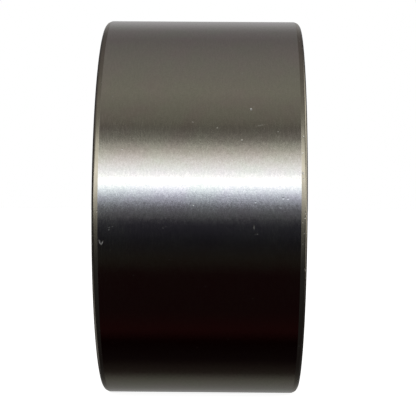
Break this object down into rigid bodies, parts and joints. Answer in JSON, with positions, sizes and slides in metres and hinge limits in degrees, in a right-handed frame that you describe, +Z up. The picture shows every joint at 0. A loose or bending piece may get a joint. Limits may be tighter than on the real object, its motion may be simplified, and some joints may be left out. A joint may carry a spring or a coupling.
{
  "type": "needle roller bearing",
  "caption": "Cylindrical needle roller bearing: plain ground outer ring with chamfered ends, inner ring, a cage of fine rollers, end washers and snap rings.",
  "frame": {"origin": "the bearing's centre: on its axis, half way along its width", "axes": "+X along the bearing's axis, to the right in a side view; +Z up"},
  "size_m": [0.054, 0.105, 0.105],
  "materials": {
    "ring_steel": "through-hardened bearing steel, ground round its axis, with turned chamfers",
    "needle_steel": "hardened bearing steel, lapped to a near mirror",
    "cage_steel": "drawn sheet steel, satin",
    "spring_steel": "hardened spring steel, phosphated dark grey"
  },
  "bodies": {
    "outer_ring": {"outer_ring": "ring_steel", "rib_washer_left": "ring_steel", "rib_washer_right": "ring_steel", "snap_ring_left": "spring_steel", "snap_ring_right": "spring_steel"},
    "inner_ring": {"inner_ring": "ring_steel"},
    "needle_cage": {"needle_cage": "cage_steel"},
    "needle_01": {"needle_01": "needle_steel"},
    "needle_02": {"needle_02": "needle_steel"},
    "needle_03": {"needle_03": "needle_steel"},
    "needle_04": {"needle_04": "needle_steel"},
    "needle_05": {"needle_05": "needle_steel"},
    "needle_06": {"needle_06": "needle_steel"},
    "needle_07": {"needle_07": "needle_steel"},
    "needle_08": {"needle_08": "needle_steel"},
    "needle_09": {"needle_09": "needle_steel"},
    "needle_10": {"needle_10": "needle_steel"},
    "needle_11": {"needle_11": "needle_steel"},
    "needle_12": {"needle_12": "needle_steel"},
    "needle_13": {"needle_13": "needle_steel"},
    "needle_14": {"needle_14": "needle_steel"},
    "needle_15": {"needle_15": "needle_steel"},
    "needle_16": {"needle_16": "needle_steel"},
    "needle_17": {"needle_17": "needle_steel"},
    "needle_18": {"needle_18": "needle_steel"},
    "needle_19": {"needle_19": "needle_steel"},
    "needle_20": {"needle_20": "needle_steel"},
    "needle_21": {"needle_21": "needle_steel"},
    "needle_22": {"needle_22": "needle_steel"},
    "needle_23": {"needle_23": "needle_steel"},
    "needle_24": {"needle_24": "needle_steel"},
    "needle_25": {"needle_25": "needle_steel"},
    "needle_26": {"needle_26": "needle_steel"},
    "needle_27": {"needle_27": "needle_steel"},
    "needle_28": {"needle_28": "needle_steel"},
    "needle_29": {"needle_29": "needle_steel"},
    "needle_30": {"needle_30": "needle_steel"},
    "needle_31": {"needle_31": "needle_steel"},
    "needle_32": {"needle_32": "needle_steel"},
    "needle_33": {"needle_33": "needle_steel"},
    "needle_34": {"needle_34": "needle_steel"},
    "needle_35": {"needle_35": "needle_steel"},
    "needle_36": {"needle_36": "needle_steel"}
  },
  "joints": [
    {"name": "inner_ring_spin", "type": "hinge", "parent": "outer_ring", "child": "inner_ring", "pos_m": [0, 0, 0], "axis": [1, 0, 0], "continuous": true},
    {"name": "cage_orbit", "type": "hinge", "parent": "outer_ring", "child": "needle_cage", "pos_m": [0, 0, 0], "axis": [1, 0, 0], "continuous": true},
    {"name": "needle_01_spin", "type": "hinge", "parent": "needle_cage", "child": "needle_01", "pos_m": [0, 0, 0.045], "axis": [1, 0, 0], "continuous": true},
    {"name": "needle_02_spin", "type": "hinge", "parent": "needle_cage", "child": "needle_02", "pos_m": [0, -0.00781, 0.04432], "axis": [1, 0, 0], "continuous": true},
    {"name": "needle_03_spin", "type": "hinge", "parent": "needle_cage", "child": "needle_03", "pos_m": [0, -0.01539, 0.04229], "axis": [1, 0, 0], "continuous": true},
    {"name": "needle_04_spin", "type": "hinge", "parent": "needle_cage", "child": "needle_04", "pos_m": [0, -0.0225, 0.03897], "axis": [1, 0, 0], "continuous": true},
    {"name": "needle_05_spin", "type": "hinge", "parent": "needle_cage", "child": "needle_05", "pos_m": [0, -0.02893, 0.03447], "axis": [1, 0, 0], "continuous": true},
    {"name": "needle_06_spin", "type": "hinge", "parent": "needle_cage", "child": "needle_06", "pos_m": [0, -0.03447, 0.02893], "axis": [1, 0, 0], "continuous": true},
    {"name": "needle_07_spin", "type": "hinge", "parent": "needle_cage", "child": "needle_07", "pos_m": [0, -0.03897, 0.0225], "axis": [1, 0, 0], "continuous": true},
    {"name": "needle_08_spin", "type": "hinge", "parent": "needle_cage", "child": "needle_08", "pos_m": [0, -0.04229, 0.01539], "axis": [1, 0, 0], "continuous": true},
    {"name": "needle_09_spin", "type": "hinge", "parent": "needle_cage", "child": "needle_09", "pos_m": [0, -0.04432, 0.00781], "axis": [1, 0, 0], "continuous": true},
    {"name": "needle_10_spin", "type": "hinge", "parent": "needle_cage", "child": "needle_10", "pos_m": [0, -0.045, 0], "axis": [1, 0, 0], "continuous": true},
    {"name": "needle_11_spin", "type": "hinge", "parent": "needle_cage", "child": "needle_11", "pos_m": [0, -0.04432, -0.00781], "axis": [1, 0, 0], "continuous": true},
    {"name": "needle_12_spin", "type": "hinge", "parent": "needle_cage", "child": "needle_12", "pos_m": [0, -0.04229, -0.01539], "axis": [1, 0, 0], "continuous": true},
    {"name": "needle_13_spin", "type": "hinge", "parent": "needle_cage", "child": "needle_13", "pos_m": [0, -0.03897, -0.0225], "axis": [1, 0, 0], "continuous": true},
    {"name": "needle_14_spin", "type": "hinge", "parent": "needle_cage", "child": "needle_14", "pos_m": [0, -0.03447, -0.02893], "axis": [1, 0, 0], "continuous": true},
    {"name": "needle_15_spin", "type": "hinge", "parent": "needle_cage", "child": "needle_15", "pos_m": [0, -0.02893, -0.03447], "axis": [1, 0, 0], "continuous": true},
    {"name": "needle_16_spin", "type": "hinge", "parent": "needle_cage", "child": "needle_16", "pos_m": [0, -0.0225, -0.03897], "axis": [1, 0, 0], "continuous": true},
    {"name": "needle_17_spin", "type": "hinge", "parent": "needle_cage", "child": "needle_17", "pos_m": [0, -0.01539, -0.04229], "axis": [1, 0, 0], "continuous": true},
    {"name": "needle_18_spin", "type": "hinge", "parent": "needle_cage", "child": "needle_18", "pos_m": [0, -0.00781, -0.04432], "axis": [1, 0, 0], "continuous": true},
    {"name": "needle_19_spin", "type": "hinge", "parent": "needle_cage", "child": "needle_19", "pos_m": [0, 0, -0.045], "axis": [1, 0, 0], "continuous": true},
    {"name": "needle_20_spin", "type": "hinge", "parent": "needle_cage", "child": "needle_20", "pos_m": [0, 0.00781, -0.04432], "axis": [1, 0, 0], "continuous": true},
    {"name": "needle_21_spin", "type": "hinge", "parent": "needle_cage", "child": "needle_21", "pos_m": [0, 0.01539, -0.04229], "axis": [1, 0, 0], "continuous": true},
    {"name": "needle_22_spin", "type": "hinge", "parent": "needle_cage", "child": "needle_22", "pos_m": [0, 0.0225, -0.03897], "axis": [1, 0, 0], "continuous": true},
    {"name": "needle_23_spin", "type": "hinge", "parent": "needle_cage", "child": "needle_23", "pos_m": [0, 0.02893, -0.03447], "axis": [1, 0, 0], "continuous": true},
    {"name": "needle_24_spin", "type": "hinge", "parent": "needle_cage", "child": "needle_24", "pos_m": [0, 0.03447, -0.02893], "axis": [1, 0, 0], "continuous": true},
    {"name": "needle_25_spin", "type": "hinge", "parent": "needle_cage", "child": "needle_25", "pos_m": [0, 0.03897, -0.0225], "axis": [1, 0, 0], "continuous": true},
    {"name": "needle_26_spin", "type": "hinge", "parent": "needle_cage", "child": "needle_26", "pos_m": [0, 0.04229, -0.01539], "axis": [1, 0, 0], "continuous": true},
    {"name": "needle_27_spin", "type": "hinge", "parent": "needle_cage", "child": "needle_27", "pos_m": [0, 0.04432, -0.00781], "axis": [1, 0, 0], "continuous": true},
    {"name": "needle_28_spin", "type": "hinge", "parent": "needle_cage", "child": "needle_28", "pos_m": [0, 0.045, 0], "axis": [1, 0, 0], "continuous": true},
    {"name": "needle_29_spin", "type": "hinge", "parent": "needle_cage", "child": "needle_29", "pos_m": [0, 0.04432, 0.00781], "axis": [1, 0, 0], "continuous": true},
    {"name": "needle_30_spin", "type": "hinge", "parent": "needle_cage", "child": "needle_30", "pos_m": [0, 0.04229, 0.01539], "axis": [1, 0, 0], "continuous": true},
    {"name": "needle_31_spin", "type": "hinge", "parent": "needle_cage", "child": "needle_31", "pos_m": [0, 0.03897, 0.0225], "axis": [1, 0, 0], "continuous": true},
    {"name": "needle_32_spin", "type": "hinge", "parent": "needle_cage", "child": "needle_32", "pos_m": [0, 0.03447, 0.02893], "axis": [1, 0, 0], "continuous": true},
    {"name": "needle_33_spin", "type": "hinge", "parent": "needle_cage", "child": "needle_33", "pos_m": [0, 0.02893, 0.03447], "axis": [1, 0, 0], "continuous": true},
    {"name": "needle_34_spin", "type": "hinge", "parent": "needle_cage", "child": "needle_34", "pos_m": [0, 0.0225, 0.03897], "axis": [1, 0, 0], "continuous": true},
    {"name": "needle_35_spin", "type": "hinge", "parent": "needle_cage", "child": "needle_35", "pos_m": [0, 0.01539, 0.04229], "axis": [1, 0, 0], "continuous": true},
    {"name": "needle_36_spin", "type": "hinge", "parent": "needle_cage", "child": "needle_36", "pos_m": [0, 0.00781, 0.04432], "axis": [1, 0, 0], "continuous": true}
  ],
  "couplings": [
    {"joint": "cage_orbit", "follows": "inner_ring_spin", "ratio": 0.47222},
    {"joint": "needle_01_spin", "follows": "inner_ring_spin", "ratio": -8.9722},
    {"joint": "needle_02_spin", "follows": "inner_ring_spin", "ratio": -8.9722},
    {"joint": "needle_03_spin", "follows": "inner_ring_spin", "ratio": -8.9722},
    {"joint": "needle_04_spin", "follows": "inner_ring_spin", "ratio": -8.9722},
    {"joint": "needle_05_spin", "follows": "inner_ring_spin", "ratio": -8.9722},
    {"joint": "needle_06_spin", "follows": "inner_ring_spin", "ratio": -8.9722},
    {"joint": "needle_07_spin", "follows": "inner_ring_spin", "ratio": -8.9722},
    {"joint": "needle_08_spin", "follows": "inner_ring_spin", "ratio": -8.9722},
    {"joint": "needle_09_spin", "follows": "inner_ring_spin", "ratio": -8.9722},
    {"joint": "needle_10_spin", "follows": "inner_ring_spin", "ratio": -8.9722},
    {"joint": "needle_11_spin", "follows": "inner_ring_spin", "ratio": -8.9722},
    {"joint": "needle_12_spin", "follows": "inner_ring_spin", "ratio": -8.9722},
    {"joint": "needle_13_spin", "follows": "inner_ring_spin", "ratio": -8.9722},
    {"joint": "needle_14_spin", "follows": "inner_ring_spin", "ratio": -8.9722},
    {"joint": "needle_15_spin", "follows": "inner_ring_spin", "ratio": -8.9722},
    {"joint": "needle_16_spin", "follows": "inner_ring_spin", "ratio": -8.9722},
    {"joint": "needle_17_spin", "follows": "inner_ring_spin", "ratio": -8.9722},
    {"joint": "needle_18_spin", "follows": "inner_ring_spin", "ratio": -8.9722},
    {"joint": "needle_19_spin", "follows": "inner_ring_spin", "ratio": -8.9722},
    {"joint": "needle_20_spin", "follows": "inner_ring_spin", "ratio": -8.9722},
    {"joint": "needle_21_spin", "follows": "inner_ring_spin", "ratio": -8.9722},
    {"joint": "needle_22_spin", "follows": "inner_ring_spin", "ratio": -8.9722},
    {"joint": "needle_23_spin", "follows": "inner_ring_spin", "ratio": -8.9722},
    {"joint": "needle_24_spin", "follows": "inner_ring_spin", "ratio": -8.9722},
    {"joint": "needle_25_spin", "follows": "inner_ring_spin", "ratio": -8.9722},
    {"joint": "needle_26_spin", "follows": "inner_ring_spin", "ratio": -8.9722},
    {"joint": "needle_27_spin", "follows": "inner_ring_spin", "ratio": -8.9722},
    {"joint": "needle_28_spin", "follows": "inner_ring_spin", "ratio": -8.9722},
    {"joint": "needle_29_spin", "follows": "inner_ring_spin", "ratio": -8.9722},
    {"joint": "needle_30_spin", "follows": "inner_ring_spin", "ratio": -8.9722},
    {"joint": "needle_31_spin", "follows": "inner_ring_spin", "ratio": -8.9722},
    {"joint": "needle_32_spin", "follows": "inner_ring_spin", "ratio": -8.9722},
    {"joint": "needle_33_spin", "follows": "inner_ring_spin", "ratio": -8.9722},
    {"joint": "needle_34_spin", "follows": "inner_ring_spin", "ratio": -8.9722},
    {"joint": "needle_35_spin", "follows": "inner_ring_spin", "ratio": -8.9722},
    {"joint": "needle_36_spin", "follows": "inner_ring_spin", "ratio": -8.9722}
  ]
}
